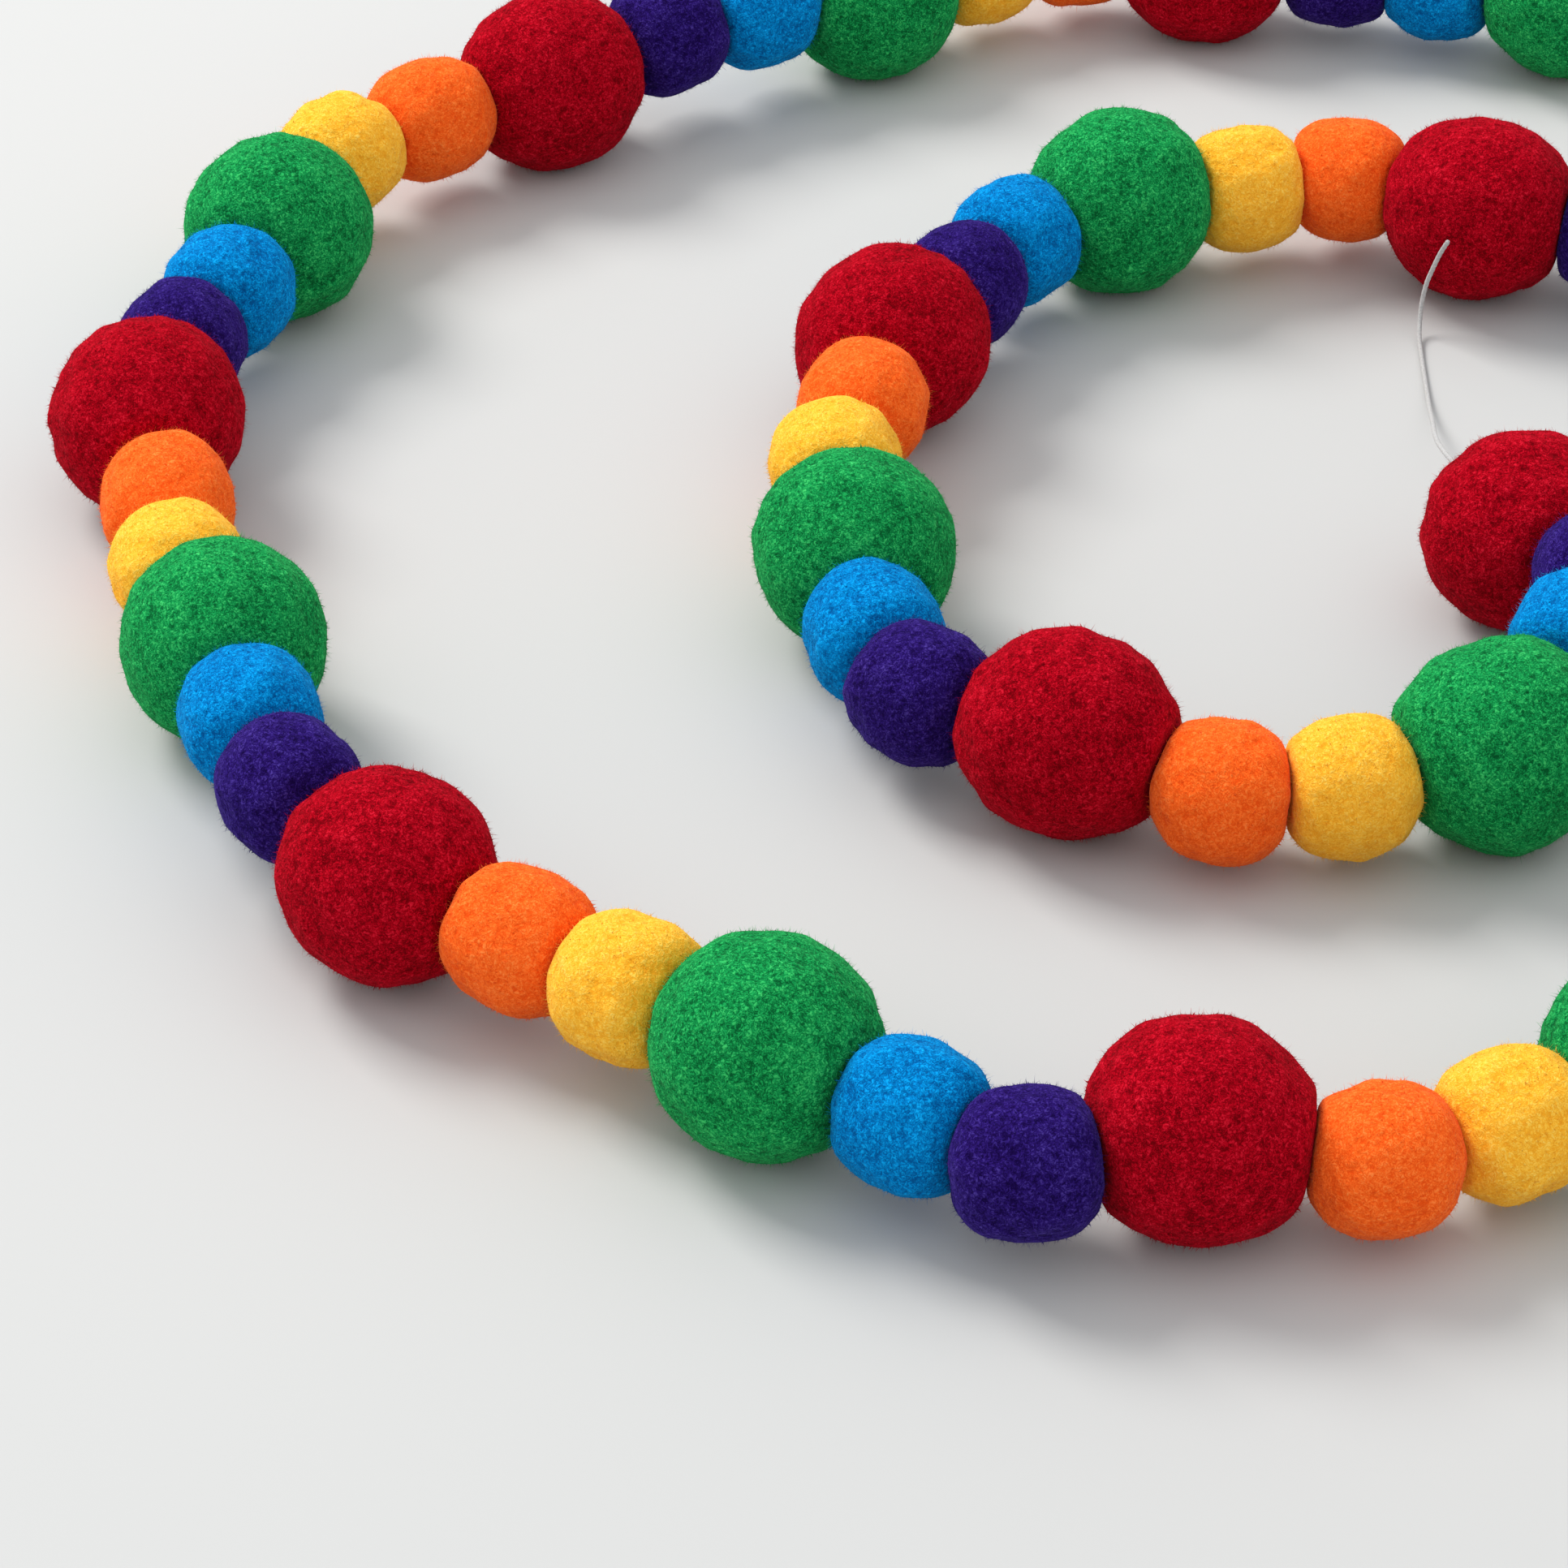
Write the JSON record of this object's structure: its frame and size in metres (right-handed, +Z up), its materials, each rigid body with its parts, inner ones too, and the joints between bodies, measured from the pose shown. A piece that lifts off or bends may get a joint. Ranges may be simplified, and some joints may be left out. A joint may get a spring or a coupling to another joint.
{
  "type": "felt ball garland",
  "caption": "Garland of soft felt balls, large and small in rainbow order, threaded tightly and laid in a flat spiral, with a bare thread end.",
  "frame": {"origin": "bottom centre of the box around the balls; the large balls rest on z = 0", "axes": "+Z up, away from the table; +Y away from the viewer, along the spiral's longest side; +X to the viewer's right"},
  "size_m": [0.4118, 0.4533, 0.0383],
  "materials": {
    "felt_red": "dense curly felted wool, matt with a soft sheen",
    "felt_purple": "dense curly felted wool, matt with a soft sheen",
    "felt_blue": "dense curly felted wool, matt with a soft sheen",
    "felt_green": "dense curly felted wool, matt with a soft sheen",
    "felt_yellow": "dense curly felted wool, matt with a soft sheen",
    "felt_orange": "dense curly felted wool, matt with a soft sheen",
    "thread": "smooth white cotton thread, matt"
  },
  "bodies": {
    "root": {"ball_00_red": "felt_red", "ball_01_purple": "felt_purple", "ball_02_blue": "felt_blue", "ball_03_green": "felt_green", "ball_04_yellow": "felt_yellow", "ball_05_orange": "felt_orange", "ball_06_red": "felt_red", "ball_07_purple": "felt_purple", "ball_08_blue": "felt_blue", "ball_09_green": "felt_green", "ball_10_yellow": "felt_yellow", "ball_11_orange": "felt_orange", "ball_12_red": "felt_red", "ball_13_purple": "felt_purple", "ball_14_blue": "felt_blue", "ball_15_green": "felt_green", "ball_16_yellow": "felt_yellow", "ball_17_orange": "felt_orange", "ball_18_red": "felt_red", "ball_21_green": "felt_green", "ball_24_red": "felt_red", "ball_27_green": "felt_green", "ball_30_red": "felt_red", "ball_33_green": "felt_green", "ball_34_yellow": "felt_yellow", "ball_35_orange": "felt_orange", "ball_36_red": "felt_red", "ball_37_purple": "felt_purple", "ball_38_blue": "felt_blue", "ball_39_green": "felt_green", "ball_40_yellow": "felt_yellow", "ball_41_orange": "felt_orange", "ball_42_red": "felt_red", "ball_43_purple": "felt_purple", "ball_44_blue": "felt_blue", "ball_45_green": "felt_green", "ball_46_yellow": "felt_yellow", "ball_47_orange": "felt_orange", "ball_48_red": "felt_red", "ball_49_purple": "felt_purple", "ball_50_blue": "felt_blue", "ball_51_green": "felt_green", "ball_52_yellow": "felt_yellow", "ball_53_orange": "felt_orange", "ball_54_red": "felt_red", "ball_55_purple": "felt_purple", "ball_56_blue": "felt_blue", "ball_57_green": "felt_green", "ball_58_yellow": "felt_yellow", "ball_59_orange": "felt_orange", "ball_60_red": "felt_red", "ball_61_purple": "felt_purple", "ball_62_blue": "felt_blue", "ball_63_green": "felt_green", "pair_19_purple_blue": "felt_purple", "pair_22_yellow_orange": "felt_yellow", "pair_25_purple_blue": "felt_purple", "pair_28_yellow_orange": "felt_yellow", "pair_31_purple_blue": "felt_purple", "thread_tail": "thread"}
  },
  "joints": []
}
